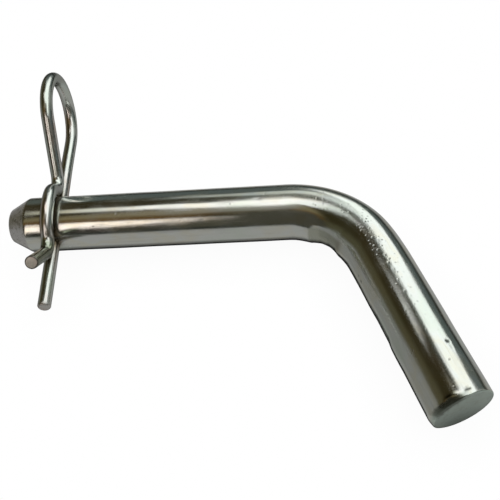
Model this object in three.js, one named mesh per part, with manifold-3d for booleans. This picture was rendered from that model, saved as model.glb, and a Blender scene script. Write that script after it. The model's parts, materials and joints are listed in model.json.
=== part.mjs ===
// Hitch pin lock: a bent steel hitch pin with a cross hole, and the one-wire spring clip that locks it.
//
// Frame, in millimetres: the origin is the centre of the nose's flat end. +X runs along the shank to the
// bend, the handle turns off towards -Y, and +Z is up, square to the plane of the bend.
//
// The clip stands in its cross hole with its eye on the +Y side. Its straight leg runs through the hole,
// and its spring leg passes over the top of the shank. The wire is one piece. It is modelled as two solids
// that meet at the crown of the eye, so that the spring leg can open the way the real wire flexes.

import * as THREE from "three";
import { mergeVertices, toCreasedNormals } from "three/addons/utils/BufferGeometryUtils.js";
import Module from "manifold-3d";

const wasm = await Module();
wasm.setup();

// Hitch pin
const PIN_DIAMETER = 15.875; // 5/8 in
const SHANK_LENGTH = 80.4; // nose face to the start of the bend
const BEND_RADIUS = 25.2; // to the bar's centreline
const BEND_ANGLE = 71.2; // degrees
const HANDLE_LENGTH = 49.2; // straight part beyond the bend
const END_RAKE = 5; // degrees that the sheared end leans, its top edge standing furthest out
const END_SKEW = 3.3; // the same in the plane of the bend, its inner edge standing furthest out
const NOSE_LENGTH = 5.6; // length of the turned cone
const NOSE_TIP_DIAMETER = 9.7;
const HOLE_DIAMETER = 5.2;
const HOLE_FROM_NOSE = 12.7; // 1/2 in
const HOLE_ROLL = 3; // degrees that the hole is drilled out of the plane of the bend

// Spring clip, in the plane of its wire: the straight leg runs along u through the shank's centre,
// and the spring leg lies on the v side.
const WIRE_DIAMETER = 3.7;
const WIRE_EDGE_RADIUS = 0.45;
const CLIP_YAW = 3; // degrees that the clip leans in the slack of its hole
const LEG_REACH = 29.4; // shank centre to the straight leg's tip
const EYE_START = 33.6; // shank centre to the start of the eye
const EYE_RADIUS = 11.5;
const EYE_SPLIT_GAP = 0.7; // between the two solids at the crown
const WRAP_GAP = 0.3; // between the wire and the shank
const REAR_PINCH_HEIGHT = 4.2; // between the two legs' centrelines, on the eye's side of the shank
const REAR_PINCH_RADIUS = 3.8;
const FRONT_PINCH_HEIGHT = 4; // the same, on the tip's side of the shank
const FRONT_PINCH_RADIUS = 4.5;
const FLARE_ANGLE = 41; // degrees between the flared end and the straight leg
const FLARE_LENGTH = 11;

// Fineness of the facets
const PIN_SIDES = 64;
const WIRE_SIDES = 24;
const PIN_BEND_STEP = 4; // degrees of bend to a facet
const WIRE_BEND_STEP = 9;
const EDGE_STEPS = 4;
const CUTTER_MARGIN = 2; // how far a cutter reaches past the metal it removes
const CREASE_ANGLE = 25; // degrees: sharper edges than this are shown as edges

const X_AXIS = new THREE.Vector3(1, 0, 0);
const Y_AXIS = new THREE.Vector3(0, 1, 0);
const Z_AXIS = new THREE.Vector3(0, 0, 1);

const radians = THREE.MathUtils.degToRad;

// The centreline of a bar bent in one plane, built up from straight lines and arcs. Its points are the
// ends of the lines and the steps of the arcs, so that straight stretches get no needless facets.
class BentCentreline extends THREE.Curve {
  constructor(uAxis, vAxis, u, v, heading, bendStep) {
    super();
    this.uAxis = uAxis;
    this.vAxis = vAxis;
    this.bendStep = radians(bendStep);
    this.stations = [{ u, v, heading }];
  }

  get last() {
    return this.stations[this.stations.length - 1];
  }

  line(length) {
    const { u, v, heading } = this.last;
    this.stations.push({
      u: u + length * Math.cos(heading),
      v: v + length * Math.sin(heading),
      heading,
    });
    return this;
  }

  // A positive turn bears left, from u towards v.
  arc(radius, turn) {
    const { u, v, heading } = this.last;
    const side = Math.sign(turn);
    const centreU = u - side * radius * Math.sin(heading);
    const centreV = v + side * radius * Math.cos(heading);
    const steps = Math.max(1, Math.ceil(Math.abs(turn) / this.bendStep));
    for (let i = 1; i <= steps; i++) {
      const bearing = heading + (turn * i) / steps;
      this.stations.push({
        u: centreU + side * radius * Math.sin(bearing),
        v: centreV - side * radius * Math.cos(bearing),
        heading: bearing,
      });
    }
    return this;
  }

  inSpace(u, v) {
    return this.uAxis.clone().multiplyScalar(u).addScaledVector(this.vAxis, v);
  }

  stationAt(share) {
    return this.stations[Math.round(share * (this.stations.length - 1))];
  }

  getPointAt(share, target = new THREE.Vector3()) {
    const { u, v } = this.stationAt(share);
    return target.copy(this.inSpace(u, v));
  }

  getTangentAt(share, target = new THREE.Vector3()) {
    const { heading } = this.stationAt(share);
    return target.copy(this.inSpace(Math.cos(heading), Math.sin(heading)));
  }
}

function toSolid(geometry) {
  const bare = geometry.clone();
  bare.deleteAttribute("normal");
  bare.deleteAttribute("uv");
  const merged = mergeVertices(bare);
  const vertProperties = merged.attributes.position.array;
  const triVerts = new Uint32Array(merged.index.array);
  return new wasm.Manifold(new wasm.Mesh({ numProp: 3, vertProperties, triVerts }));
}

function toGeometry(solid) {
  const mesh = solid.getMesh();
  const geometry = new THREE.BufferGeometry();
  geometry.setAttribute("position", new THREE.BufferAttribute(mesh.vertProperties, 3));
  geometry.setIndex(new THREE.BufferAttribute(mesh.triVerts, 1));
  return toCreasedNormals(geometry, radians(CREASE_ANGLE));
}

function sweepBar(centreline, diameter, sides) {
  const section = new THREE.Shape();
  section.absarc(0, 0, diameter / 2, 0, 2 * Math.PI);
  const geometry = new THREE.ExtrudeGeometry(section, {
    steps: centreline.stations.length - 1,
    curveSegments: sides / 2, // a full circle gets two sides for each
    extrudePath: centreline,
  });
  return toSolid(geometry);
}

// Cuts a bar's end with a ring whose section is the profile, closed and anticlockwise: x is the distance
// from the bar's axis, and y is the distance out past the end face.
function turnEnd(solid, endPoint, outward, profile, sides) {
  const ring = new THREE.LatheGeometry(profile, sides);
  const turn = new THREE.Quaternion().setFromUnitVectors(Y_AXIS, outward);
  const place = new THREE.Matrix4().compose(endPoint, turn, new THREE.Vector3(1, 1, 1));
  ring.applyMatrix4(place);
  return solid.subtract(toSolid(ring));
}

function roundedEdgeProfile(barRadius, edgeRadius) {
  const outside = barRadius + CUTTER_MARGIN;
  const inside = barRadius - edgeRadius;
  const profile = [new THREE.Vector2(outside, -edgeRadius), new THREE.Vector2(outside, CUTTER_MARGIN)];
  profile.push(new THREE.Vector2(inside, CUTTER_MARGIN));
  for (let i = 0; i <= EDGE_STEPS; i++) {
    const angle = (Math.PI / 2) * (1 - i / EDGE_STEPS);
    profile.push(
      new THREE.Vector2(
        inside + edgeRadius * Math.cos(angle),
        edgeRadius * (Math.sin(angle) - 1),
      ),
    );
  }
  profile.push(profile[0].clone());
  return profile;
}

function coneProfile(tipRadius, barRadius, coneLength) {
  const slope = (barRadius - tipRadius) / coneLength;
  const outside = barRadius + CUTTER_MARGIN;
  const above = new THREE.Vector2(tipRadius - slope * CUTTER_MARGIN, CUTTER_MARGIN);
  const below = new THREE.Vector2(outside, -(outside - tipRadius) / slope);
  const corner = new THREE.Vector2(outside, CUTTER_MARGIN);
  return [above, below, corner, above.clone()];
}

function crossHole() {
  const bore = new THREE.CylinderGeometry(
    HOLE_DIAMETER / 2,
    HOLE_DIAMETER / 2,
    PIN_DIAMETER + 2 * CUTTER_MARGIN,
    WIRE_SIDES,
  );
  bore.rotateX(radians(HOLE_ROLL));
  bore.translate(HOLE_FROM_NOSE, 0, 0);
  return toSolid(bore);
}

// Cuts a bar's end off with a flat face.
function shearEnd(solid, facePoint, faceNormal) {
  const size = 2 * PIN_DIAMETER;
  const block = new THREE.BoxGeometry(size, size, size);
  block.translate(0, size / 2, 0);
  const turn = new THREE.Quaternion().setFromUnitVectors(Y_AXIS, faceNormal);
  block.applyMatrix4(new THREE.Matrix4().compose(facePoint, turn, new THREE.Vector3(1, 1, 1)));
  return solid.subtract(toSolid(block));
}

function hitchPin() {
  const centreline = new BentCentreline(X_AXIS, Y_AXIS, 0, 0, 0, PIN_BEND_STEP)
    .line(SHANK_LENGTH)
    .arc(BEND_RADIUS, -radians(BEND_ANGLE))
    .line(HANDLE_LENGTH);
  const noseFace = centreline.getPointAt(0);
  const noseOutward = centreline.getTangentAt(0).negate();
  const noseProfile = coneProfile(NOSE_TIP_DIAMETER / 2, PIN_DIAMETER / 2, NOSE_LENGTH);
  const handleFace = centreline.getPointAt(1);
  const handleOutward = centreline.getTangentAt(1);
  const outsideOfBend = Z_AXIS.clone().cross(handleOutward);
  const shearedNormal = handleOutward
    .clone()
    .addScaledVector(Z_AXIS, -Math.tan(radians(END_RAKE)))
    .addScaledVector(outsideOfBend, Math.tan(radians(END_SKEW)))
    .normalize();
  centreline.line(CUTTER_MARGIN); // what the shear takes off again

  let solid = sweepBar(centreline, PIN_DIAMETER, PIN_SIDES);
  solid = turnEnd(solid, noseFace, noseOutward, noseProfile, PIN_SIDES);
  solid = shearEnd(solid, handleFace, shearedNormal);
  solid = solid.subtract(crossHole());

  const material = new THREE.MeshStandardMaterial({
    color: 0x8f8b7c,
    metalness: 1,
    roughness: 0.32,
  });
  const mesh = new THREE.Mesh(toGeometry(solid), material);
  mesh.name = "hitch_pin";
  return mesh;
}

// The bends of the spring leg follow from the circles that it touches: the eye, the outside bend at each
// pinch, and the wrap round the shank. All positions are in the clip's own plane, from the shank's centre.
function springLegBends() {
  const wrapRadius = PIN_DIAMETER / 2 + WRAP_GAP + WIRE_DIAMETER / 2;
  const rearReach = wrapRadius + REAR_PINCH_RADIUS;
  const rearV = REAR_PINCH_HEIGHT + REAR_PINCH_RADIUS;
  const rearU = Math.sqrt(rearReach ** 2 - rearV ** 2);
  const frontReach = wrapRadius + FRONT_PINCH_RADIUS;
  const frontV = FRONT_PINCH_HEIGHT + FRONT_PINCH_RADIUS;

  // The straight stretch between the eye and the rear pinch crosses from one circle to the other.
  const acrossU = rearU - EYE_START;
  const acrossV = rearV - EYE_RADIUS;
  const across = Math.hypot(acrossU, acrossV);
  const bearing = Math.atan2(acrossV, acrossU) + 2 * Math.PI;
  const radii = EYE_RADIUS + REAR_PINCH_RADIUS;
  const straightHeading = bearing + Math.asin(radii / across);

  const wrapStart = Math.asin(rearV / rearReach);
  const wrapEnd = Math.PI - Math.asin(frontV / frontReach);
  const wrapStartHeading = wrapStart + Math.PI / 2;
  const wrapEndHeading = wrapEnd + Math.PI / 2;
  const flareHeading = Math.PI - radians(FLARE_ANGLE);
  return {
    eyeTurn: straightHeading,
    straightLength: Math.sqrt(across ** 2 - radii ** 2),
    rearPinchTurn: wrapStartHeading - straightHeading,
    wrapRadius,
    wrapTurn: wrapEndHeading - wrapStartHeading,
    frontPinchTurn: flareHeading - wrapEndHeading,
  };
}

function wireMesh(name, centreline, tipPoint, tipOutward) {
  const radius = WIRE_DIAMETER / 2;
  const profile = roundedEdgeProfile(radius, WIRE_EDGE_RADIUS);
  const solid = turnEnd(
    sweepBar(centreline, WIRE_DIAMETER, WIRE_SIDES),
    tipPoint,
    tipOutward,
    profile,
    WIRE_SIDES,
  );
  const material = new THREE.MeshStandardMaterial({
    color: 0xa3a79d,
    metalness: 1,
    roughness: 0.28,
  });
  const mesh = new THREE.Mesh(toGeometry(solid), material);
  mesh.name = name;
  return mesh;
}

// Each solid stops half the gap short of the crown, where the wire has turned a quarter circle.
const CROWN_TURN = Math.PI / 2;
const HALF_GAP_TURN = EYE_SPLIT_GAP / 2 / EYE_RADIUS;

function clipStraightLeg() {
  const centreline = new BentCentreline(Y_AXIS, Z_AXIS, -LEG_REACH, 0, 0, WIRE_BEND_STEP)
    .line(LEG_REACH + EYE_START)
    .arc(EYE_RADIUS, CROWN_TURN - HALF_GAP_TURN);
  const tipPoint = centreline.getPointAt(0);
  const tipOutward = centreline.getTangentAt(0).negate();
  return wireMesh("clip_straight_leg", centreline, tipPoint, tipOutward);
}

function clipSpringLeg() {
  const bends = springLegBends();
  const startTurn = CROWN_TURN + HALF_GAP_TURN;
  const startU = EYE_START + EYE_RADIUS * Math.sin(startTurn);
  const startV = EYE_RADIUS * (1 - Math.cos(startTurn));
  const centreline = new BentCentreline(Y_AXIS, Z_AXIS, startU, startV, startTurn, WIRE_BEND_STEP)
    .arc(EYE_RADIUS, bends.eyeTurn - startTurn)
    .line(bends.straightLength)
    .arc(REAR_PINCH_RADIUS, bends.rearPinchTurn)
    .arc(bends.wrapRadius, bends.wrapTurn)
    .arc(FRONT_PINCH_RADIUS, bends.frontPinchTurn)
    .line(FLARE_LENGTH);
  const tipPoint = centreline.getPointAt(1);
  const tipOutward = centreline.getTangentAt(1);
  return wireMesh("clip_spring_leg", centreline, tipPoint, tipOutward);
}

// The clip in its own plane, YZ, stood in the cross hole and leaning in the hole's slack.
function springClip() {
  const clip = new THREE.Group();
  clip.rotation.z = radians(CLIP_YAW);
  clip.add(clipStraightLeg(), clipSpringLeg());
  const hole = new THREE.Group();
  hole.position.x = HOLE_FROM_NOSE;
  hole.rotation.x = radians(HOLE_ROLL);
  hole.add(clip);
  return hole;
}

const hitchPinLock = new THREE.Group();
hitchPinLock.add(hitchPin(), springClip());

export default hitchPinLock;
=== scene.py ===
"""A bent hitch pin and its spring clip, both zinc plated, lying on a pale floor.

Lengths are metres, in the part's own frame: the origin is the centre of the pin's nose face, +X runs
along the shank, the handle turns off towards -Y, and +Z is up.
"""

import json
import math

import bpy
import numpy as np
from mathutils import Matrix, Vector


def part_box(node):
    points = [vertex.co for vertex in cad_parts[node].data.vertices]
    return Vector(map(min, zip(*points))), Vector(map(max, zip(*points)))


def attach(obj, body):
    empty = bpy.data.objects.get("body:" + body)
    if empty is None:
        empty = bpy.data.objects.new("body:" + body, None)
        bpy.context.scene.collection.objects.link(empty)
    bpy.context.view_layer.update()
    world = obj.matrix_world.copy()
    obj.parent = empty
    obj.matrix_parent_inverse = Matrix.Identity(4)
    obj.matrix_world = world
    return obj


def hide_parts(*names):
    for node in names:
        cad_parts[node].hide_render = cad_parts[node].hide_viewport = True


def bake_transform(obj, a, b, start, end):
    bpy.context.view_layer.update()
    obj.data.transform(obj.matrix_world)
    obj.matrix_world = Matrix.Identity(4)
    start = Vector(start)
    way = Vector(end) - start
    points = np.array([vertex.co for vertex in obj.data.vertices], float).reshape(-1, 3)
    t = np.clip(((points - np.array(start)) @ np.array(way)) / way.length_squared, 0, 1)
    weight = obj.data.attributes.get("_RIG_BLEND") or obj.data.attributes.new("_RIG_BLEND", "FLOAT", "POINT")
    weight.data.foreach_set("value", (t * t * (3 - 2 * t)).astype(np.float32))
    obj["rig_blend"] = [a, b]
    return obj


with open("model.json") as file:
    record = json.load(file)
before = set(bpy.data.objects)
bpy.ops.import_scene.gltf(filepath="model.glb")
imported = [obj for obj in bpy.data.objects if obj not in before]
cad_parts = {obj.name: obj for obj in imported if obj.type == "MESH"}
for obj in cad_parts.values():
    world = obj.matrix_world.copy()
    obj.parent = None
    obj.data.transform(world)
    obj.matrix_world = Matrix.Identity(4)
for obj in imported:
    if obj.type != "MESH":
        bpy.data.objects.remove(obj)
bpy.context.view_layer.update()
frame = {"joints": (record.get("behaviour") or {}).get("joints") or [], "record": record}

MM = 0.001

# Hitch pin
BEND_RADIUS = 25.2 * MM
BEND_ANGLE = math.radians(71.2)
NOSE_LENGTH = 5.6 * MM
NOSE_TIP_RADIUS = 4.85 * MM
NOSE_TIP_EDGE = 0.35 * MM
NOSE_SHOULDER_EDGE = 0.3 * MM
HANDLE_EDGE_RADIUS = 0.35 * MM
SHEAR_REACH = 6 * MM
HOLE_RADIUS = 2.6 * MM
HOLE_CHAMFER_DEPTH = 0.55 * MM
HOLE_SIDES = 72
CUTTER_OVERRUN = 2 * MM
PIN_SIDES = 176
PIN_STEP = 0.45 * MM

# Spring clip, in the plane of its wire: u runs along the straight leg, away from its tip
WIRE_RADIUS = 1.85 * MM
LEG_REACH = 29.4 * MM
EYE_START = 33.6 * MM
EYE_RADIUS = 11.5 * MM
WRAP_GAP = 0.3 * MM
REAR_PINCH_HEIGHT = 4.2 * MM
REAR_PINCH_RADIUS = 3.8 * MM
FRONT_PINCH_HEIGHT = 4.0 * MM
FRONT_PINCH_RADIUS = 4.5 * MM
FLARE_ANGLE = math.radians(41)
FLARE_LENGTH = 11.0 * MM
WIRE_SIDES = 40
WIRE_STEP = 0.4 * MM

# Camera. At azimuth 0 it looks along +Y.
CAMERA_TARGET = Vector((70.25, -13.43, 0.0)) * MM
CAMERA_AZIMUTH = math.radians(8.93)
CAMERA_ELEVATION = math.radians(49.39)
CAMERA_ROLL = math.radians(-9.43)
CAMERA_DISTANCE = 208.88 * MM
CAMERA_LENS = 54.67

FLOOR_SIZE = 6.0


def smooth(value, low, high):
    """0 below low, 1 above high, and a smooth step between them."""
    t = np.clip((value - low) / (high - low), 0, 1)
    return t * t * (3 - 2 * t)


def hill(value, centre, width):
    """A rounded hill of height 1."""
    return np.exp(-(((value - centre) / width) ** 2))


class Centreline:
    """Straight lines and arcs laid end to end in one plane. A point on it is found by its length."""

    def __init__(self, point, heading):
        self.parts = []
        self.point = point
        self.heading = heading
        self.length = 0.0

    def line(self, length):
        return self.add(length, 0.0)

    def arc(self, radius, turn):
        return self.add(radius * abs(turn), math.copysign(1 / radius, turn))

    def add(self, length, curvature):
        self.parts.append((self.length, curvature, self.point, self.heading))
        self.length += length
        points, headings = self.at(np.array([self.length]))
        self.point = points[0]
        self.heading = headings[0]
        return self

    def at(self, lengths):
        points = np.zeros((len(lengths), 2))
        headings = np.zeros(len(lengths))
        for before, curvature, start, heading in self.parts:
            here = lengths >= before
            along = lengths[here] - before
            turned = heading + curvature * along
            if curvature:
                points[here, 0] = start[0] + (np.sin(turned) - math.sin(heading)) / curvature
                points[here, 1] = start[1] - (np.cos(turned) - math.cos(heading)) / curvature
            else:
                points[here, 0] = start[0] + along * math.cos(heading)
                points[here, 1] = start[1] + along * math.sin(heading)
            headings[here] = turned
        return points, headings


def ring_mesh(name, rings, poles):
    """A closed round bar from rings of points (rings, sides, 3), with a centre point at each end.

    Where the sides run anticlockwise, seen from the bar's far end, the faces point into the bar.
    """
    count, sides = rings.shape[:2]
    vertices = np.concatenate([rings.reshape(-1, 3), poles])
    first = np.arange(count * sides).reshape(count, sides)
    following = np.roll(first, -1, axis=1)
    quads = np.stack([first[:-1], first[1:], following[1:], following[:-1]], axis=-1).reshape(-1, 4)
    start_pole = count * sides
    end_pole = start_pole + 1
    faces = quads.tolist()
    for i in range(sides):
        faces.append((first[0, i], following[0, i], start_pole))
        faces.append((following[-1, i], first[-1, i], end_pole))
    mesh = bpy.data.meshes.new(name)
    mesh.from_pydata(vertices.tolist(), [], faces)
    mesh.update()
    return mesh


def add_object(name, mesh):
    piece = bpy.data.objects.new(name, mesh)
    bpy.context.scene.collection.objects.link(piece)
    return piece


def shade_smoothly(mesh, sharp_degrees=32):
    mesh.shade_smooth()
    mesh.set_sharp_from_angle(angle=math.radians(sharp_degrees))


def vertex_points(mesh):
    flat = np.zeros(len(mesh.vertices) * 3)
    mesh.vertices.foreach_get("co", flat)
    return flat.reshape(-1, 3)


def store(mesh, name, values):
    """A value, or a vector, for each vertex, which a material reads by name."""
    kind = "FLOAT" if values.ndim == 1 else "FLOAT_VECTOR"
    field = "value" if values.ndim == 1 else "vector"
    attribute = mesh.attributes.get(name) or mesh.attributes.new(name, kind, "POINT")
    attribute.data.foreach_set(field, np.ascontiguousarray(values, dtype=np.float32).ravel())


# ---------------------------------------------------------------- hitch pin


class PinShape:
    """Where the bar's centreline runs, worked out from the record's mounts and the node's box."""

    def __init__(self):
        mounts = {mount["name"]: mount for mount in frame["record"]["mounts"]}
        end = mounts["handle_end_face"]["pos_m"]
        self.end_normal = np.array(mounts["handle_end_face"]["axis"])
        lowest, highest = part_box("hitch_pin")
        self.radius = (highest.z - lowest.z) / 2
        across = BEND_RADIUS * (1 - math.cos(BEND_ANGLE))
        self.handle = (-end[1] - across) / math.sin(BEND_ANGLE)
        self.shank = end[0] - BEND_RADIUS * math.sin(BEND_ANGLE) - self.handle * math.cos(BEND_ANGLE)
        self.arc = BEND_RADIUS * BEND_ANGLE
        self.length = self.shank + self.arc + self.handle
        self.line = Centreline((0.0, 0.0), 0.0)
        self.line.line(self.shank).arc(BEND_RADIUS, -BEND_ANGLE).line(self.handle)

    def unbend(self, points):
        """(length along the bar, offset towards the outside of the bend, height) of points."""
        x, y, z = points.T
        centre = np.array([self.shank, -BEND_RADIUS])
        turned = np.arctan2(x - centre[0], y - centre[1])
        reach = np.hypot(x - centre[0], y - centre[1])
        lengths = self.shank + turned * BEND_RADIUS
        offsets = reach - BEND_RADIUS
        straight = x < self.shank
        lengths[straight] = x[straight]
        offsets[straight] = y[straight]
        end_point, end_heading = self.line.at(np.array([self.shank + self.arc]))
        direction = np.array([math.cos(end_heading[0]), math.sin(end_heading[0])])
        outward = np.array([-direction[1], direction[0]])
        from_end = points[:, :2] - end_point[0]
        past = (~straight) & (from_end @ direction > 0)
        lengths[past] = self.shank + self.arc + (from_end @ direction)[past]
        offsets[past] = (from_end @ outward)[past]
        return np.stack([lengths, offsets, z], axis=-1)


def rounded(corner, radius, start_angle, end_angle, steps):
    """(length, radius) pairs round an edge, about a corner's centre."""
    angles = np.linspace(start_angle, end_angle, steps)
    return [(corner[0] + radius * math.cos(a), corner[1] + radius * math.sin(a)) for a in angles]


def pin_profile(shape):
    """(length, radius) pairs from the centre of the nose face to the centre of the handle's end."""
    cone = math.atan2(shape.radius - NOSE_TIP_RADIUS, NOSE_LENGTH)
    tip_turn = math.pi / 2 - cone
    tip_tangent = NOSE_TIP_EDGE * math.tan(tip_turn / 2)
    shoulder_tangent = NOSE_SHOULDER_EDGE * math.tan(cone / 2) / cone
    profile = [(0.0, share * (NOSE_TIP_RADIUS - tip_tangent)) for share in (0.15, 0.4, 0.7, 0.93)]
    tip_centre = (NOSE_TIP_EDGE, NOSE_TIP_RADIUS - tip_tangent)
    profile += rounded(tip_centre, NOSE_TIP_EDGE, math.pi, math.pi / 2 + cone, 6)
    begin = profile[-1]
    stop = (NOSE_LENGTH - shoulder_tangent, shape.radius - shoulder_tangent * math.tan(cone))
    for share in np.linspace(0, 1, 16)[1:]:
        profile.append((begin[0] + share * (stop[0] - begin[0]), begin[1] + share * (stop[1] - begin[1])))
    profile.append((NOSE_LENGTH + shoulder_tangent * 0.2, shape.radius - 0.02 * MM))
    profile.append((NOSE_LENGTH + shoulder_tangent, shape.radius))
    edge_start = shape.length - HANDLE_EDGE_RADIUS
    steps = int((edge_start - profile[-1][0]) / PIN_STEP)
    for length in np.linspace(profile[-1][0], edge_start, steps + 1)[1:]:
        profile.append((length, shape.radius))
    edge_centre = (edge_start, shape.radius - HANDLE_EDGE_RADIUS)
    profile += rounded(edge_centre, HANDLE_EDGE_RADIUS, math.pi / 2, 0, 9)[1:]
    face_radius = shape.radius - HANDLE_EDGE_RADIUS
    profile += [(shape.length, face_radius * share) for share in (0.93, 0.8, 0.62, 0.44, 0.26, 0.1)]
    return np.array(profile)


def knots(lengths, table, blur):
    """Straight lines through (length, value) pairs in millimetres, rounded off over blur millimetres."""
    table = np.array(table)
    fine = np.arange(table[0, 0] - 8, table[-1, 0] + 8, 0.1)
    values = np.interp(fine, table[:, 0], table[:, 1])
    reach = np.arange(-4 * blur, 4 * blur + 0.05, 0.1)
    weights = hill(reach, 0, blur)
    values = np.convolve(values, weights / weights.sum(), mode="same")
    return np.interp(lengths / MM, fine, values) * MM


# Millimetres from the start of the bend, and how far the surface stands proud there, in millimetres
INSIDE_PRESS = [(3, 0), (7, 0.14), (9, 0.2), (9.6, 0.02), (13, -0.46), (17, -0.5), (19.2, -0.22),
                (21.5, 0.0), (23, 0)]
INSIDE_SWELL = [(19.5, 0), (21.5, 0.1), (22.5, 0.3), (26, 0.3), (29, 0.24), (34, 0.08), (39, 0)]
HANDLE_PRESS = [(45, 0), (50, -0.16), (57, -0.16), (59, 0.08), (62, 0.1), (66, 0)]
OUTSIDE_THINNING = [(16, 0), (24, -0.15), (28, -0.4), (31, -0.32), (34, -0.08), (38, 0)]

# Degrees round the bar: 0 is the outside of the bend, 90 is up and 180 is the inside
DIE_SIDE = 206
HANDLE_PRESS_SIDE = 200
ROLLED_SIDE = 150
SMEAR_SIDE = 130
LOWER_RIM_SIDE = 265
PITTED_SIDE = 92

# (from the bend's start, degrees round the bar, length, width, depth): millimetres and degrees
DENTS = [
    (66.8, 73, 0.5, 0.55, 0.14), (68.4, 72, 1.4, 0.4, 0.04), (71.6, 87, 0.3, 0.3, 0.07),
    (79.8, 85, 0.35, 0.7, 0.2), (79.6, 118, 0.6, 1.0, 0.1), (39.6, 166, 0.5, 0.4, 0.08),
    (37.8, 164, 0.3, 0.3, 0.06), (50.6, 96, 0.3, 0.3, 0.06), (52.1, 90, 0.3, 0.25, 0.05),
    (43.1, 93, 0.4, 0.3, 0.05), (38.3, 94, 0.3, 0.35, 0.06), (41.0, 96, 0.3, 0.4, 0.05),
    (33.1, 91, 0.4, 0.4, 0.06), (-7.5, 101, 0.9, 0.3, 0.03), (-23.0, 140, 0.6, 0.25, 0.02),
    (-49.0, 68, 0.8, 0.3, 0.06),
]

PIT_COUNT = 60
ROLL_REACH = 2.1 * MM
ROLL_DEPTH = 0.8 * MM


def turn_between(angles, degrees):
    """How far round the bar the angles are from a direction, in degrees."""
    return np.abs(np.degrees(np.angle(np.exp(1j * (angles - math.radians(degrees))))))


def pin_relief(shape, lengths, angles):
    """How far the pin's surface stands proud of a true round bar."""
    bent = lengths - shape.shank
    relief = knots(bent, INSIDE_PRESS, 0.45) * smooth(-turn_between(angles, DIE_SIDE), -58, -34)
    relief += knots(bent, INSIDE_SWELL, 0.45) * smooth(-turn_between(angles, DIE_SIDE), -100, -20)
    relief += knots(bent, HANDLE_PRESS, 0.6) * smooth(-turn_between(angles, HANDLE_PRESS_SIDE), -42, -18)
    relief += knots(bent, OUTSIDE_THINNING, 2.0) * np.maximum(np.cos(angles), 0)
    full_bar = smooth(lengths, NOSE_LENGTH, NOSE_LENGTH + 3 * MM)
    full_bar = full_bar * smooth(shape.length - lengths, HANDLE_EDGE_RADIUS, 4 * MM)
    relief += full_bar * ripples(lengths, angles)
    relief -= rolled_rim(shape, lengths, angles)
    return relief - dents(shape, bent, angles)


def rolled_rim(shape, lengths, angles):
    """The shear drew the end's upper left rim over, so it is rounder there."""
    left = smooth(shape.length - lengths, ROLL_REACH, 0)
    return ROLL_DEPTH * left**2 * smooth(-turn_between(angles, ROLLED_SIDE), -75, -25)


def dents(shape, bent, angles):
    """How deep the dents and pits are."""
    depths = np.zeros(np.broadcast(bent, angles).shape)
    around = shape.radius / MM
    for along, degrees, length, width, depth in DENTS:
        turned = np.radians(turn_between(angles, degrees)) * around
        depths += depth * MM * hill(bent / MM, along, length) * hill(turned, 0, width)
    random = np.random.default_rng(7)
    for _ in range(PIT_COUNT):
        along = random.normal(30, 9)
        degrees = random.normal(89, 6)
        size = random.uniform(0.16, 0.30)
        depth = random.uniform(0.003, 0.010)
        turned = np.radians(turn_between(angles, degrees)) * around
        depths += depth * MM * hill(bent / MM, along, size) * hill(turned, 0, size)
    return depths


def ripples(lengths, angles):
    """The drawn bar's faint waves, a few hundredths of a millimetre high."""
    random = np.random.default_rng(3)
    height = np.zeros(np.broadcast(lengths, angles).shape)
    for _ in range(14):
        wavelength = random.uniform(7, 30) * MM
        lobes = random.integers(1, 7)
        phase = random.uniform(0, 2 * math.pi)
        size = random.uniform(0.3, 1.0) * wavelength * 0.00028
        height += size * np.sin(2 * math.pi * lengths / wavelength + lobes * angles + phase)
    return height


def lean_into_shear(shape, rings, points, lengths, heading):
    """Slides the last rings along the handle until the end face lies in the sheared plane."""
    along = np.array([math.cos(heading), math.sin(heading), 0])
    middle = np.concatenate([points, np.zeros((len(points), 1))], axis=1)[:, None]
    lean = -((rings - middle) @ shape.end_normal) / (along @ shape.end_normal)
    share = smooth(lengths, shape.length - SHEAR_REACH, shape.length - HANDLE_EDGE_RADIUS)
    rings += (lean * share[:, None])[..., None] * along


def make_pin(shape, material):
    profile = pin_profile(shape)
    lengths = profile[:, 0]
    points, headings = shape.line.at(lengths)
    angles = np.linspace(0, 2 * math.pi, PIN_SIDES, endpoint=False)
    normals = np.stack([-np.sin(headings), np.cos(headings)], axis=-1)
    on_side = smooth(profile[:, 1], 0.45 * shape.radius, 0.7 * shape.radius)
    relief = pin_relief(shape, lengths[:, None], angles[None, :]) * on_side[:, None]
    radii = profile[:, 1][:, None] + relief
    rings = np.zeros((len(lengths), PIN_SIDES, 3))
    rings[..., :2] = points[:, None] + (radii * np.cos(angles))[..., None] * normals[:, None]
    rings[..., 2] = radii * np.sin(angles)
    lean_into_shear(shape, rings, points, lengths, headings[-1])
    poles = [(0, 0, 0), (*points[-1], 0)]
    pin = add_object("plated_hitch_pin", ring_mesh("plated_hitch_pin", rings, poles))
    bore(pin, shape)
    mark_pin(shape, pin.data)
    shade_smoothly(pin.data)
    pin.data.materials.append(material)
    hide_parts("hitch_pin")
    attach(pin, "pin")


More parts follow.
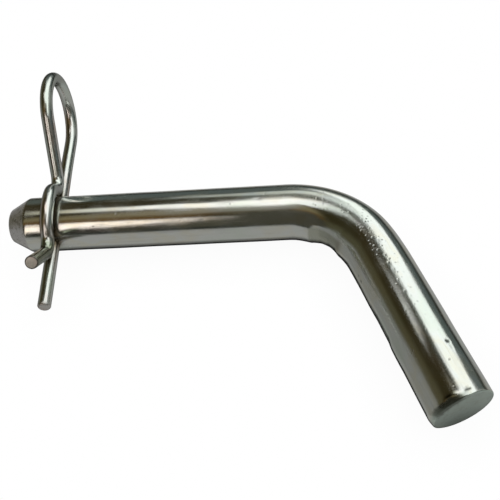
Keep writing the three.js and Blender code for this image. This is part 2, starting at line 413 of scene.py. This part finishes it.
def mark_pin(shape, mesh):
    """Stores where the pin is turned, sheared, pitted, dented and pressed, where its end is smeared, and
    where shade is painted, for its material.
    """
    places = shape.unbend(vertex_points(mesh))
    store(mesh, "bar_space", places)
    store(mesh, "turned", smooth(-places[:, 0], -NOSE_LENGTH - 0.1 * MM, -NOSE_LENGTH + 0.1 * MM))
    bent = (places[:, 0] - shape.shank) / MM
    round_bar = np.arctan2(places[:, 2], places[:, 1])
    store(mesh, "sheared", end_face_share(shape, mesh, round_bar))
    crowded = smooth(bent, 4, 20) * smooth(-bent, -72, -38)
    store(mesh, "pitted", crowded * hill(turn_between(round_bar, PITTED_SIDE), 0, 20))
    on_bar = smooth(np.hypot(places[:, 1], places[:, 2]), 0.8 * shape.radius, 0.9 * shape.radius)
    depths = dents(shape, places[:, 0] - shape.shank, round_bar)
    store(mesh, "dented", on_bar * smooth(depths, 0.01 * MM, 0.09 * MM))
    pressed = smooth(bent, 8.2, 9.4) * smooth(-bent, -24, -21.5)
    store(mesh, "pressed", pressed * smooth(-turn_between(round_bar, DIE_SIDE), -52, -44))
    # Painted dark reflection along the crease where the pressed zone ends
    store(mesh, "creased", hill(bent, 23.4, 1.5) * smooth(-turn_between(round_bar, DIE_SIDE), -60, -42))
    store(mesh, "sooty", smear_and_rim_shade_share(shape, mesh, places, round_bar))


def past_end_face(shape, mesh):
    """How far each vertex is past the plane of the sheared end face."""
    end, _ = shape.line.at(np.array([shape.length]))
    return (vertex_points(mesh) - np.array([*end[0], 0])) @ shape.end_normal


def end_face_share(shape, mesh, round_bar):
    """1 on the sheared end face, falling to 0 over its rim, and further out where the rim is rolled."""
    past_end = past_end_face(shape, mesh)
    face = smooth(past_end, -0.3 * MM, -0.05 * MM)
    rolled = smooth(-turn_between(round_bar, ROLLED_SIDE), -75, -25)
    return np.maximum(face, rolled * smooth(past_end, -1.3 * MM, -0.3 * MM))


def smear_and_rim_shade_share(shape, mesh, places, round_bar):
    """A dark smear along the rolled rim, and painted shade thinly round the end's lower rim."""
    past_end = past_end_face(shape, mesh)
    reach = np.hypot(places[:, 1], places[:, 2])
    smear = smooth(reach, shape.radius - 3.4 * MM, shape.radius - 1.2 * MM)
    smear = smear * smooth(past_end, -1.9 * MM, -0.7 * MM)
    smear = smear * smooth(-turn_between(round_bar, SMEAR_SIDE), -58, -18)
    # Painted shade: the lower rim is darkened like the other lower edges
    rim = smooth(past_end, -0.42 * MM, -0.25 * MM)
    rim = rim * smooth(reach, shape.radius - 0.75 * MM, shape.radius - HANDLE_EDGE_RADIUS)
    return np.maximum(smear, 0.7 * rim * smooth(-turn_between(round_bar, LOWER_RIM_SIDE), -110, -60))


def bore(pin, shape):
    """Cuts the cross hole, with its countersunk mouths, where the spring clip's straight leg runs."""
    centre, along, _, _ = clip_axes()
    drilled = Vector((0, along[1], along[2])).normalized()
    mouth = shape.radius - HOLE_CHAMFER_DEPTH
    end = shape.radius + CUTTER_OVERRUN
    steps = [(-end, HOLE_RADIUS + end - mouth), (-mouth, HOLE_RADIUS), (mouth, HOLE_RADIUS)]
    steps.append((end, HOLE_RADIUS + end - mouth))
    angles = np.linspace(0, 2 * math.pi, HOLE_SIDES, endpoint=False)
    rings = np.array([[(r * math.cos(a), r * math.sin(a), z) for a in angles] for z, r in steps])
    cutter = add_object("cutter", ring_mesh("cutter", rings, [(0, 0, -end), (0, 0, end)]))
    turn = drilled.to_track_quat("Z", "X").to_matrix().to_4x4()
    cutter.matrix_world = Matrix.Translation(Vector(centre)) @ turn
    cut = pin.modifiers.new("cross_hole", "BOOLEAN")
    cut.operation = "DIFFERENCE"
    cut.solver = "EXACT"
    cut.object = cutter
    bpy.context.view_layer.update()
    graph = bpy.context.evaluated_depsgraph_get()
    finished = bpy.data.meshes.new_from_object(pin.evaluated_get(graph))
    finished.name = pin.name
    pin.modifiers.clear()
    pin.data = finished
    bpy.data.objects.remove(cutter)


# ---------------------------------------------------------------- spring clip


def clip_axes():
    """The cross hole's centre, and directions along the leg, to the spring leg and out of their plane."""
    joints = {joint["name"]: joint for joint in frame["joints"]}
    along = np.array(joints["clip_withdraw"]["axis"])
    square = -np.array(joints["clip_spread"]["axis"])
    across = np.cross(square, along)
    crown = np.array(joints["clip_spread"]["pos_m"])
    centre = crown - along * (EYE_START + EYE_RADIUS) - across * EYE_RADIUS
    return centre, along, across, square


def clip_centreline(pin_radius):
    """The wire from the straight leg's tip, round the eye, over the shank and out to the flared tip."""
    wrap_radius = pin_radius + WRAP_GAP + WIRE_RADIUS
    rear_reach = wrap_radius + REAR_PINCH_RADIUS
    rear_v = REAR_PINCH_HEIGHT + REAR_PINCH_RADIUS
    rear_u = math.sqrt(rear_reach**2 - rear_v**2)
    front_reach = wrap_radius + FRONT_PINCH_RADIUS
    front_v = FRONT_PINCH_HEIGHT + FRONT_PINCH_RADIUS
    across = math.hypot(rear_u - EYE_START, rear_v - EYE_RADIUS)
    bearing = math.atan2(rear_v - EYE_RADIUS, rear_u - EYE_START) + 2 * math.pi
    radii = EYE_RADIUS + REAR_PINCH_RADIUS
    eye_turn = bearing + math.asin(radii / across)
    wrap_start = math.asin(rear_v / rear_reach) + math.pi / 2
    wrap_end = 1.5 * math.pi - math.asin(front_v / front_reach)
    line = Centreline((-LEG_REACH, 0.0), 0.0).line(LEG_REACH + EYE_START)
    eye = [line.length]
    line.arc(EYE_RADIUS, eye_turn)
    eye.append(line.length)
    line.line(math.sqrt(across**2 - radii**2))
    rear = line.length
    line.arc(REAR_PINCH_RADIUS, wrap_start - eye_turn)
    rear = (rear + line.length) / 2
    wrap = line.length
    line.arc(wrap_radius, wrap_end - wrap_start)
    wrap = (wrap + line.length) / 2
    line.arc(FRONT_PINCH_RADIUS, math.pi - FLARE_ANGLE - wrap_end)
    line.line(FLARE_LENGTH)
    return line, eye, rear, wrap


def wire_profile(length):
    """(length, radius) pairs along the wire, with the worn straight tip and the cropped flared tip."""
    tip_edge = 0.75 * MM
    profile = [(0.0, share * (WIRE_RADIUS - tip_edge)) for share in (0.35, 0.8)]
    profile += rounded((tip_edge, WIRE_RADIUS - tip_edge), tip_edge, math.pi, math.pi / 2, 9)
    crop_edge = 0.28 * MM
    steps = int((length - tip_edge - crop_edge) / WIRE_STEP)
    for place in np.linspace(tip_edge, length - crop_edge, steps + 1)[1:]:
        profile.append((place, WIRE_RADIUS))
    corner = (length - crop_edge, WIRE_RADIUS - crop_edge)
    profile += rounded(corner, crop_edge, math.pi / 2, 0, 6)[1:]
    profile += [(length, share * (WIRE_RADIUS - crop_edge)) for share in (0.9, 0.6, 0.3)]
    return np.array(profile)


def make_clip(shape, material):
    centre, along, across, square = clip_axes()
    line, eye, rear, wrap = clip_centreline(shape.radius)
    profile = wire_profile(line.length)
    lengths = profile[:, 0]
    points, headings = line.at(lengths)
    # The wire isn't quite flat: it sways out of its plane by up to about 0.6 mm
    sway = 0.62 * hill(lengths, wrap, 7 * MM) + 0.3 * hill(lengths, LEG_REACH + 12 * MM, 9 * MM)
    sway += 0.25 * hill(lengths, eye[0], 14 * MM) + 0.2 * hill(lengths, 0, 14 * MM)
    base = centre + points[:, :1] * along + points[:, 1:] * across + sway[:, None] * MM * square
    normals = -np.sin(headings)[:, None] * along + np.cos(headings)[:, None] * across
    angles = np.linspace(0, 2 * math.pi, WIRE_SIDES, endpoint=False)
    squeeze = 0.07 * hill(lengths, rear, 1.6 * MM)[:, None] * np.abs(np.cos(angles)) ** 3
    nick = 0.10 * hill(lengths, rear + 2.2 * MM, 0.5 * MM)[:, None] * hill(angles, math.pi, 0.5)
    wobble = 0.006 * np.sin(lengths[:, None] / (3.1 * MM) + 2 * angles)
    radii = profile[:, 1][:, None] * (1 - squeeze - nick + wobble)
    rings = base[:, None] + (radii * np.cos(angles))[..., None] * normals[:, None]
    rings = rings + (radii * np.sin(angles))[..., None] * square
    mesh = ring_mesh("hairpin_clip", rings, [base[0], base[-1]])
    clip = add_object("hairpin_clip", mesh)
    ends = np.array([0, line.length])
    place = np.concatenate([np.repeat(lengths, WIRE_SIDES), ends])
    turn = np.concatenate([np.tile(angles, len(lengths)), [0, 0]])
    reach = np.concatenate([radii.ravel(), [0, 0]])
    store(mesh, "bar_space", np.stack([place, reach * np.cos(turn), reach * np.sin(turn)], axis=-1))
    cropped = smooth(place, line.length - 0.3 * MM, line.length - 0.05 * MM)
    store(mesh, "sheared", cropped + smooth(-place, -1.3 * MM, -0.3 * MM))
    store(mesh, "pinched", hill(place, rear, 2.2 * MM))
    edge = smooth(place, line.length - 0.34 * MM, line.length - 0.2 * MM)
    store(mesh, "edged", edge * smooth(reach, WIRE_RADIUS - 0.42 * MM, WIRE_RADIUS - 0.3 * MM))
    flare = line.length - FLARE_LENGTH
    # Darker olive from before the front pinch out to the flared tip
    store(mesh, "stained", smooth(place, flare - 7 * MM, flare - 3 * MM))
    shade_smoothly(mesh)
    mesh.materials.append(material)
    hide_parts("clip_straight_leg", "clip_spring_leg")
    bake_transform(clip, "clip", "clip_spring", start=tuple(base[0]), end=tuple(base[-1]))
    store(mesh, "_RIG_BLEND", smooth(place, eye[0], eye[1]))


# ---------------------------------------------------------------- materials


class Nodes:
    """Short calls that build a node tree. Each hands back an output socket."""

    def __init__(self, tree):
        self.tree = tree
        tree.nodes.clear()

    def add(self, kind, *inputs, output=0, sockets=None, **settings):
        node = self.tree.nodes.new("ShaderNode" + kind)
        for key, value in settings.items():
            setattr(node, key, value)
        for i, value in enumerate(inputs):
            self.feed(node.inputs[i], value)
        for name, value in (sockets or {}).items():
            self.feed(node.inputs[name], value)
        return node.outputs[output] if node.outputs else node

    def feed(self, socket, value):
        if isinstance(value, bpy.types.NodeSocket):
            self.tree.links.new(value, socket)
        elif value is not None:
            socket.default_value = value

    def math(self, operation, *values):
        return self.add("Math", *values, operation=operation)

    def plus(self, *values):
        total = values[0]
        for value in values[1:]:
            total = self.math("ADD", total, value)
        return total

    def times(self, *values):
        product = values[0]
        for value in values[1:]:
            product = self.math("MULTIPLY", product, value)
        return product

    def step(self, value, low, high):
        """0 at low, 1 at high and a smooth step between them. low may be the higher of the two."""
        return self.add("MapRange", value, low, high, 0.0, 1.0, interpolation_type="SMOOTHSTEP")

    def between(self, value, low, high, blur):
        rise = self.step(value, low - blur, low + blur)
        return self.times(rise, self.step(value, high + blur, high - blur))

    def mix(self, amount, first, second, blend_type="MIX"):
        return self.add("MixRGB", amount, first, second, blend_type=blend_type)

    def noise(self, vector, scale, detail=2.0, roughness=0.5, output=0):
        sockets = {"Vector": vector, "Scale": scale, "Detail": detail, "Roughness": roughness}
        return self.add("TexNoise", output=output, sockets=sockets)

    def scaled(self, vector, *factors):
        return self.add("VectorMath", vector, factors, operation="MULTIPLY")

    def ramp(self, value, stops):
        out = self.add("ValToRGB", value)
        elements = out.node.color_ramp.elements
        while len(elements) < len(stops):
            elements.new(1.0)
        for element, (place, colour) in zip(elements, stops):
            element.position = place
            element.color = (*colour, 1)
        return out

    def attribute(self, name, output="Fac"):
        return self.add("Attribute", output=output, attribute_name=name)

    def bump(self, height, distance, strength, below=None):
        sockets = {"Height": height, "Distance": distance, "Strength": strength, "Normal": below}
        return self.add("Bump", sockets=sockets)


def new_material(name):
    material = bpy.data.materials.new(name)
    material.use_nodes = True
    return material, Nodes(material.node_tree)


def finish_metal(n, colour, roughness, normal):
    metal = n.add("BsdfPrincipled", sockets={
        "Base Color": colour, "Metallic": 1.0, "Roughness": roughness, "Normal": normal,
    })
    n.add("OutputMaterial", metal)


CLEAR = (0.79, 0.80, 0.78)
GREEN = (0.75, 0.79, 0.73)
STRAW = (0.80, 0.78, 0.70)
ROSE = (0.81, 0.76, 0.74)
TEAL = (0.73, 0.79, 0.78)
RUST = (0.72, 0.58, 0.50)
PIN_TINTS = [(0.22, TEAL), (0.36, GREEN), (0.47, CLEAR), (0.56, STRAW), (0.64, CLEAR), (0.76, ROSE)]
WIRE_TINTS = [(0.25, TEAL), (0.38, GREEN), (0.48, CLEAR), (0.57, ROSE), (0.66, RUST), (0.75, STRAW)]


def passivated_colour(n, place, along, around, tints):
    """Zinc whose clear passivation drifts between faint green, straw, rose and teal."""
    drift = n.noise(n.scaled(place, along, around, around), 1.0, detail=3.0, roughness=0.55)
    return n.ramp(drift, tints)


def painted_close_shade(n, colour):
    """Painted shade: darker and browner where two surfaces nearly meet, from ambient occlusion."""
    open_air = n.add("AmbientOcclusion", output="AO", samples=8, sockets={"Distance": 5 * MM})
    return n.mix(n.times(n.step(open_air, 0.82, 0.42), 0.85), colour, (0.17, 0.14, 0.08, 1))


def painted_edge_darkening(n, colour, start, stop, amount):
    """Painted reflection of dark surroundings: darker where the surface turns edge-on, as polished metal is
    between dark cards.
    """
    weight = n.add("LayerWeight", 0.5, output="Facing")
    return n.mix(n.times(n.step(weight, start, stop), amount), colour, (0.07, 0.075, 0.06, 1))


def pin_material():
    material, n = new_material("zinc_plated_pin")
    place = n.attribute("bar_space", output="Vector")
    turned = n.attribute("turned")
    sheared = n.attribute("sheared")
    pitted = n.attribute("pitted")
    pressed = n.attribute("pressed")
    dented = n.attribute("dented")

    colour = passivated_colour(n, place, 55, 120, PIN_TINTS)
    streaks = n.noise(n.scaled(place, 90, 1500, 1500), 1.0, detail=4.0, roughness=0.6)
    colour = n.mix(n.times(n.step(streaks, 0.5, 0.8), 0.35), colour, (0.55, 0.54, 0.48, 1))

    cells = n.add("TexVoronoi", sockets={"Vector": place, "Scale": 900.0, "Randomness": 1.0})
    thin_out = n.noise(place, 260.0, detail=2.0)
    everywhere = n.times(n.step(thin_out, 0.60, 0.72), 0.5)
    crowded = n.times(pitted, n.step(thin_out, 0.42, 0.55))
    pits = n.times(n.step(cells, 0.34, 0.12), n.math("MAXIMUM", everywhere, crowded))
    colour = n.mix(n.times(pits, 0.65), colour, (0.30, 0.31, 0.28, 1))
    colour = n.mix(n.times(pressed, 0.8), colour, (0.46, 0.47, 0.39, 1))
    # Painted dark reflection along the crease where the pressed zone ends
    colour = n.mix(n.times(n.attribute("creased"), 0.6), colour, (0.30, 0.27, 0.19, 1))
    # Painted shade: the dents are darkened almost to black
    colour = n.mix(n.times(dented, 0.95), colour, (0.045, 0.05, 0.042, 1))
    # Painted shade where two surfaces nearly meet
    colour = painted_close_shade(n, colour)
    colour = n.mix(n.times(turned, 0.7), colour, (0.95, 0.89, 0.93, 1))
    colour = n.mix(n.times(sheared, 0.8), colour, (0.65, 0.77, 0.71, 1))
    blotches = n.noise(place, 800.0, detail=3.0, roughness=0.6)
    oxide = n.times(n.step(blotches, 0.5, 0.64), n.plus(n.times(turned, 0.55), n.times(sheared, 0.18)))
    colour = n.mix(oxide, colour, (0.36, 0.34, 0.29, 1))
    # A dark smear along the rolled rim, and painted shade on the end's lower rim
    ragged = n.step(n.plus(n.attribute("sooty"), n.times(blotches, 0.7)), 0.45, 1.35)
    colour = n.mix(n.times(ragged, 0.9), colour, (0.15, 0.165, 0.135, 1))
    # Painted shade along the lower edges: only edge-on surfaces that face downwards are darkened
    below = n.add("SeparateXYZ", n.add("NewGeometry", output="Normal")).node.outputs[2]
    colour = painted_edge_darkening(n, colour, 0.60, 0.90, n.times(n.step(below, 0.06, -0.12), 0.85))

    cloud = n.noise(n.scaled(place, 130, 300, 300), 1.0, detail=3.0)
    roughness = n.plus(0.13, n.times(n.step(cloud, 0.35, 0.75), 0.08))
    roughness = n.plus(roughness, n.times(n.step(streaks, 0.45, 0.8), 0.10), n.times(pits, 0.2))
    roughness = n.plus(roughness, n.times(turned, 0.05), n.times(sheared, 0.26), n.times(pressed, 0.06))

    drawn = n.noise(n.scaled(place, 60, 1900, 1900), 1.0, detail=3.0, roughness=0.6)
    normal = n.bump(drawn, 0.012 * MM, 0.6)
    peel = n.noise(place, 1900.0, detail=3.0, roughness=0.65)
    peel_depth = n.plus(0.28, n.times(pitted, 0.75), n.times(sheared, 0.9), n.times(turned, 0.5))
    normal = n.bump(n.times(peel, peel_depth), 0.05 * MM, 0.6, normal)
    normal = n.bump(n.times(pits, -1.0), 0.07 * MM, 0.8, normal)
    s = n.add("SeparateXYZ", place)
    turning = n.math("SINE", n.times(s, 2 * math.pi / (0.32 * MM)))
    normal = n.bump(n.times(turning, turned), 0.008 * MM, 0.6, normal)
    finish_metal(n, colour, roughness, normal)
    return material


def wire_material():
    material, n = new_material("zinc_plated_wire")
    place = n.attribute("bar_space", output="Vector")
    sheared = n.attribute("sheared")
    pinched = n.attribute("pinched")
    colour = passivated_colour(n, place, 75, 240, WIRE_TINTS)
    streaks = n.noise(n.scaled(place, 140, 2600, 2600), 1.0, detail=3.0)
    colour = n.mix(n.times(n.step(streaks, 0.5, 0.8), 0.4), colour, (0.45, 0.40, 0.34, 1))
    colour = n.mix(n.times(sheared, 0.7), colour, (0.66, 0.61, 0.59, 1))
    blotches = n.noise(place, 900.0, detail=3.0)
    # Darker olive over the flare, in spots, and less on the cropped tip
    stained = n.times(n.attribute("stained"), n.math("SUBTRACT", 1.0, n.times(sheared, 0.8)))
    stained = n.times(stained, n.plus(0.62, n.times(n.step(blotches, 0.4, 0.62), 0.3)))
    colour = n.mix(stained, colour, (0.31, 0.36, 0.24, 1))
    colour = n.mix(n.times(n.attribute("edged"), 0.85), colour, (0.13, 0.12, 0.10, 1))
    # Painted shade where the wire nearly meets the pin or itself
    colour = painted_close_shade(n, colour)
    # Painted dark reflection along both edges of the wire
    colour = painted_edge_darkening(n, colour, 0.42, 0.85, 0.72)
    cloud = n.noise(place, 420.0, detail=2.0)
    roughness = n.plus(0.17, n.times(n.step(cloud, 0.35, 0.7), 0.09), n.times(sheared, 0.22))
    drawn = n.noise(n.scaled(place, 160, 3200, 3200), 1.0, detail=3.0)
    normal = n.bump(drawn, 0.012 * MM, 0.6)
    marks = n.noise(place, 1500.0, detail=2.0)
    marks = n.times(marks, n.plus(0.2, n.times(pinched, 1.3), n.times(sheared, 0.8)))
    normal = n.bump(marks, 0.05 * MM, 0.6, normal)
    finish_metal(n, colour, roughness, normal)
    return material


# ---------------------------------------------------------------- studio


def towards_camera():
    """The direction from the object to the camera."""
    level = math.cos(CAMERA_ELEVATION)
    across = math.sin(CAMERA_AZIMUTH) * level
    nearer = -math.cos(CAMERA_AZIMUTH) * level
    return Vector((across, nearer, math.sin(CAMERA_ELEVATION)))


def studio_world():
    """White to the camera. To the metal it is a studio with a soft box overhead and pale panels in front.

    The edges of everything in it are directions. w and u are how far right and how far back a ray goes
    while it rises by 1. p and q are how far right and how far up it goes while it comes forward by 1.
    """
    world = bpy.data.worlds.new("studio")
    world.use_nodes = True
    n = Nodes(world.node_tree)
    direction = n.add("TexCoord", output="Generated")
    split = n.add("SeparateXYZ", direction)
    x, y, z = split, split.node.outputs[1], split.node.outputs[2]
    height = n.math("MAXIMUM", z, 0.02)
    w = n.math("DIVIDE", x, height)
    u = n.math("DIVIDE", y, height)
    depth = n.math("MAXIMUM", n.times(y, -1.0), 0.02)
    p = n.math("DIVIDE", x, depth)
    q = n.math("DIVIDE", z, depth)

    # The walls: grey-green behind and to the right, brown above the left, olive low on the left.
    colour = n.mix(n.step(w, -0.02, -0.3), (0.075, 0.085, 0.07, 1), (0.030, 0.024, 0.009, 1))
    low_wall = n.mix(n.step(x, -0.3, -0.6), (0.085, 0.105, 0.10, 1), (0.072, 0.066, 0.036, 1))
    colour = n.mix(n.step(z, 0.62, 0.42), colour, low_wall)
    skirting = n.times(n.step(z, 0.26, 0.06), n.step(x, -0.6, -0.88))
    colour = n.mix(skirting, colour, (0.20, 0.205, 0.19, 1))

    # In front: a warm ceiling with a dark brown border, and a dark room below it.
    warm = n.mix(n.step(w, -0.36, -0.08), (0.19, 0.16, 0.085, 1), (0.25, 0.24, 0.21, 1))
    border = n.mix(n.step(p, -0.35, -0.18), (0.105, 0.062, 0.020, 1), (0.032, 0.026, 0.012, 1))
    low = n.mix(n.step(p, -0.36, -0.16), (0.028, 0.024, 0.020, 1), (0.064, 0.064, 0.048, 1))
    front = n.mix(n.step(q, 1.35, 2.3), border, warm)
    front = n.mix(n.step(q, 1.12, 0.98), front, low)
    front = n.mix(n.step(q, 0.16, 0.0), front, (0.020, 0.024, 0.018, 1))
    in_front = n.times(n.step(y, -0.03, -0.13), n.step(n.math("ABSOLUTE", p), 2.2, 1.0))
    colour = n.mix(in_front, colour, front)

    # A pink-white panel low in front on the left. It narrows and dims towards the right.
    panel_top = n.plus(0.83, n.times(p, -0.5))
    panel_low = n.plus(1.05, n.times(p, 1.75))
    panel = n.times(n.step(n.math("SUBTRACT", q, panel_low), -0.10, 0.04), n.step(y, -0.2, -0.3))
    panel = n.times(panel, n.step(n.math("SUBTRACT", q, panel_top), 0.05, -0.05))
    panel = n.times(panel, n.step(p, -0.16, -0.34), n.step(p, -0.60, -0.52))
    colour = n.mix(panel, colour, (1.50, 1.34, 1.20, 1))

    # A second pale panel straight in front, and a grey wall at the far right.
    second = n.times(n.between(q, 0.50, 0.80, 0.07), n.step(p, -0.07, -0.02), n.step(p, 0.42, 0.12))
    colour = n.mix(n.times(second, n.step(y, -0.1, -0.25)), colour, (1.22, 1.16, 1.04, 1))
    right_wall = n.times(n.step(x, 0.62, 0.76), n.step(z, 0.30, 0.42))
    near_back = n.times(n.step(y, 0.20, 0.34), n.step(y, 0.66, 0.58), n.step(x, 0.5, 0.6))
    right_wall = n.math("MAXIMUM", right_wall, near_back)
    colour = n.mix(right_wall, colour, (0.29, 0.31, 0.285, 1))

    # Overhead: a soft box to the right, whose left side is crossed by a dark gap.
    past_gap = n.math("MAXIMUM", n.plus(w, 0.1), 0.0)
    back_low = n.plus(0.74, n.times(past_gap, 3.2), n.times(n.step(w, -0.08, -0.18), 0.22))
    back = n.times(n.step(n.math("SUBTRACT", u, back_low), -0.06, 0.1), n.step(u, 1.75, 1.35))
    box_right = n.plus(1.12, n.times(n.step(u, 1.1, 2.1), 0.43))
    left_of_edge = n.step(n.math("SUBTRACT", w, box_right), 0.08, -0.08)
    back_left = n.plus(n.times(n.step(w, -0.38, -0.20), 0.45), n.times(n.step(w, -0.10, 0.06), 0.55))
    back = n.times(back, back_left, n.step(z, 0.05, 0.2), left_of_edge)
    colour = n.mix(back, colour, (1.05, 1.15, 1.10, 1))
    front_low = n.math("MAXIMUM", n.plus(-0.34, n.times(w, -1.4)), -0.23)
    front_low = n.math("MINIMUM", front_low, 0.02)
    top_high = n.plus(0.27, n.times(past_gap, 3.2))
    top = n.times(n.step(n.math("SUBTRACT", u, front_low), -0.05, 0.05), n.step(z, 0.05, 0.2))
    top = n.times(top, n.step(n.math("SUBTRACT", u, top_high), 0.08, -0.06), n.step(w, -0.52, -0.19))
    top = n.times(top, left_of_edge)
    top_colour = n.mix(n.step(w, -0.42, -0.24), (1.0, 1.0, 0.72, 1), (1.28, 1.26, 1.20, 1))
    colour = n.mix(top, colour, top_colour)
    left_edge = n.mix(n.step(u, 0.95, 1.25), n.step(w, -0.09, 0.10), n.step(w, 0.05, 0.35))
    front_edge = n.mix(n.step(w, 0.32, 0.55), n.step(u, -0.28, -0.18), n.step(u, -1.05, -0.85))
    box = n.times(left_of_edge, left_edge, front_edge, n.step(z, 0.20, 0.28))
    colour = n.mix(box, colour, (1.16, 1.22, 1.18, 1))

    seen = n.add("LightPath", output="Is Camera Ray")
    colour = n.mix(seen, colour, (1, 1, 1, 1))
    background = n.add("Background", colour, 1.0)
    n.add("OutputWorld", background)
    bpy.context.scene.world = world


def make_floor(level):
    """A plain pale floor with a faint painted contact shadow near the object. The metal sees it as soft
    grey, with painted shade near the object and near the horizon.
    """
    half = FLOOR_SIZE / 2
    outline = [(-half, -half, level), (half, -half, level), (half, half, level), (-half, half, level)]
    mesh = bpy.data.meshes.new("floor")
    mesh.from_pydata(outline, [], [(0, 1, 2, 3)])
    floor = add_object("floor", mesh)
    material, n = new_material("pale_floor")
    # Painted contact shadow: the floor is a little darker where the object is close
    open_sky = n.add("AmbientOcclusion", output="AO", samples=12, sockets={"Distance": 14 * MM})
    shade = n.plus(0.95, n.times(open_sky, 0.05))
    pale = n.mix(1.0, (1, 1, 1, 1), shade, blend_type="MULTIPLY")
    incoming = n.add("NewGeometry", output="Incoming")
    towards = n.add("SeparateXYZ", incoming)
    right = n.times(towards, -1.0)
    back = n.times(towards.node.outputs[1], -1.0)
    depth = towards.node.outputs[2]
    leftwards = n.step(right, -0.45, -0.8)
    edge = n.plus(0.11, n.times(n.step(back, -0.2, 0.3), 0.13))
    edge = n.times(edge, n.math("SUBTRACT", 1.0, leftwards))
    lit = n.step(n.math("SUBTRACT", depth, edge), -0.05, 0.04)
    grey = n.mix(leftwards, (0.325, 0.33, 0.315, 1), (0.215, 0.22, 0.205, 1))
    grey = n.mix(lit, (0.025, 0.028, 0.022, 1), grey)
    path = n.add("LightPath", output="Is Camera Ray")
    first = n.math("LESS_THAN", path.node.outputs["Glossy Depth"], 1.5)
    # Painted shade where a ray carries on almost straight away from the camera, which outlines the lower
    # left edges
    away = n.add("VectorMath", incoming, towards_camera(), operation="DOT_PRODUCT", output="Value")
    behind = n.times(n.step(away, 0.85, 0.91), n.step(n.plus(right, back), 0.54, 0.46), first)
    grey = n.mix(behind, grey, (0.030, 0.035, 0.028, 1))
    close = n.add("AmbientOcclusion", output="AO", samples=8, sockets={"Distance": 5 * MM})
    shadow = n.math("POWER", close, n.times(first, n.step(depth, 0.70, 0.88), 2.5))
    reflected = n.mix(1.0, grey, shadow, blend_type="MULTIPLY")
    light = n.add("Emission", n.mix(path, reflected, pale), 1.0)
    n.add("OutputMaterial", light)
    mesh.materials.append(material)


def add_card(name, outline, material):
    """A card that only the metal sees. Its outline is in millimetres."""
    mesh = bpy.data.meshes.new(name)
    mesh.from_pydata((np.array(outline) * MM).tolist(), [], [tuple(range(len(outline)))])
    mesh.materials.append(material)
    card = add_object(name, mesh)
    card.visible_camera = False
    card.visible_shadow = False


# (left, right, bottom, top, where it stands in y) of each dark card, in millimetres
FLAGS = [(62, 86, 3, 42, -30), (98, 136, 3, 34, -80)]


def make_flags():
    """Small dark cards in front of the bend and the handle's end, which keep the front panels off them."""
    material, n = new_material("dark_card")
    towards = n.add("SeparateXYZ", n.add("NewGeometry", output="Incoming"))
    heading_out = n.math("GREATER_THAN", towards.node.outputs[1], 0.1)
    card = n.add("Emission", (0.052, 0.050, 0.036, 1), 1.0)
    n.add("OutputMaterial", n.add("MixShader", heading_out, n.add("BsdfTransparent"), card))
    for left, right, low, high, place in FLAGS:
        outline = [(left, place, low), (right, place, low), (right, place, high), (left, place, high)]
        add_card("flag", outline, material)


# The corners of a white card that hangs over the bend, and how high it hangs, in millimetres
FILL_CARD = [(57, -18), (92, -8), (92, 44), (80, 37), (69, 26), (60.6, 8)]
FILL_HEIGHT = 88


def make_fill():
    """A white card that widens the overhead box's image in the bend. Only rays that lean left see it."""
    material, n = new_material("white_card")
    towards = n.add("SeparateXYZ", n.add("NewGeometry", output="Incoming"))
    x, y, z = (n.times(towards.node.outputs[i], -1.0) for i in range(3))
    rise = n.math("MAXIMUM", z, 0.02)
    leaning_left = n.step(n.math("DIVIDE", x, rise), -0.10, -0.18)
    lit = n.times(leaning_left, n.step(n.math("DIVIDE", y, rise), 0.55, 0.40))
    card = n.add("Emission", (1.12, 1.14, 1.10, 1), 1.0)
    n.add("OutputMaterial", n.add("MixShader", lit, n.add("BsdfTransparent"), card))
    add_card("fill", [(across, away, FILL_HEIGHT) for across, away in FILL_CARD], material)


# ---------------------------------------------------------------- camera


def make_camera():
    back = towards_camera()
    right = Vector((0, 0, 1)).cross(back).normalized()
    up = back.cross(right)
    rolled_right = right * math.cos(CAMERA_ROLL) + up * math.sin(CAMERA_ROLL)
    rolled_up = up * math.cos(CAMERA_ROLL) - right * math.sin(CAMERA_ROLL)
    data = bpy.data.cameras.new("camera")
    data.sensor_width = 36
    data.lens = CAMERA_LENS
    data.clip_start = 0.01
    camera = add_object("camera", data)
    turn = Matrix((rolled_right, rolled_up, back)).transposed().to_4x4()
    camera.matrix_world = Matrix.Translation(CAMERA_TARGET + back * CAMERA_DISTANCE) @ turn
    bpy.context.scene.camera = camera


pin_shape = PinShape()
make_pin(pin_shape, pin_material())
make_clip(pin_shape, wire_material())
studio_world()
make_floor(-pin_shape.radius)
make_flags()
make_fill()
make_camera()
bpy.context.scene.view_settings.view_transform = "Standard"
